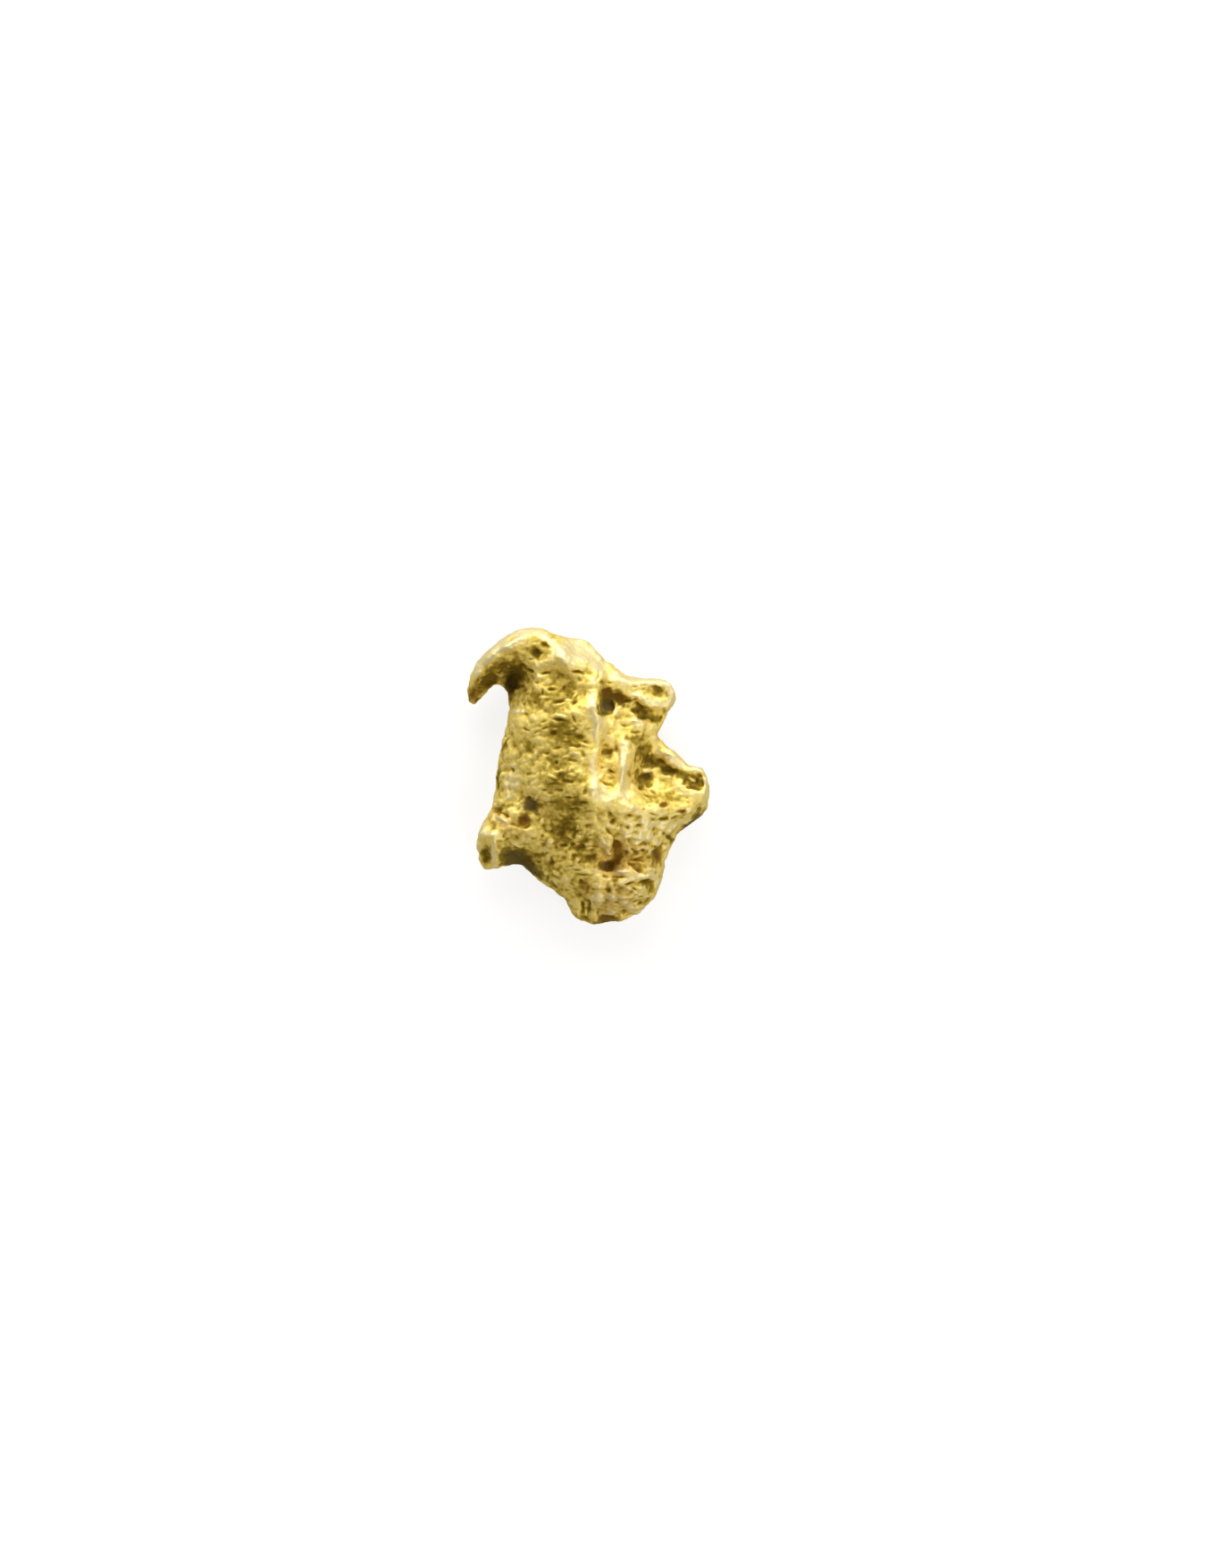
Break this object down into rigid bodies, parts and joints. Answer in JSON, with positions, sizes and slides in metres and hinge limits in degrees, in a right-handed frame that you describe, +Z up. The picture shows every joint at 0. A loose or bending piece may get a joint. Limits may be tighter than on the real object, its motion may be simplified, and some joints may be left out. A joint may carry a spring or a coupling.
{
  "type": "gold nugget",
  "caption": "Small water-worn placer gold nugget with a hooked end, side lobes, ridges and pits, lying flat on its broad side.",
  "frame": {"origin": "centre of the nugget's box in plan, at the level of the worn flat that it rests on", "axes": "+Z up, away from the flat it rests on; +Y along its length, to the end with the hook; +X to the side with the two short limbs"},
  "size_m": [0.0034, 0.0042, 0.0014],
  "materials": {
    "gold": "native gold, matt and finely pitted, with brown dirt in the hollows"
  },
  "bodies": {
    "root": {"nugget": "gold"}
  },
  "joints": []
}
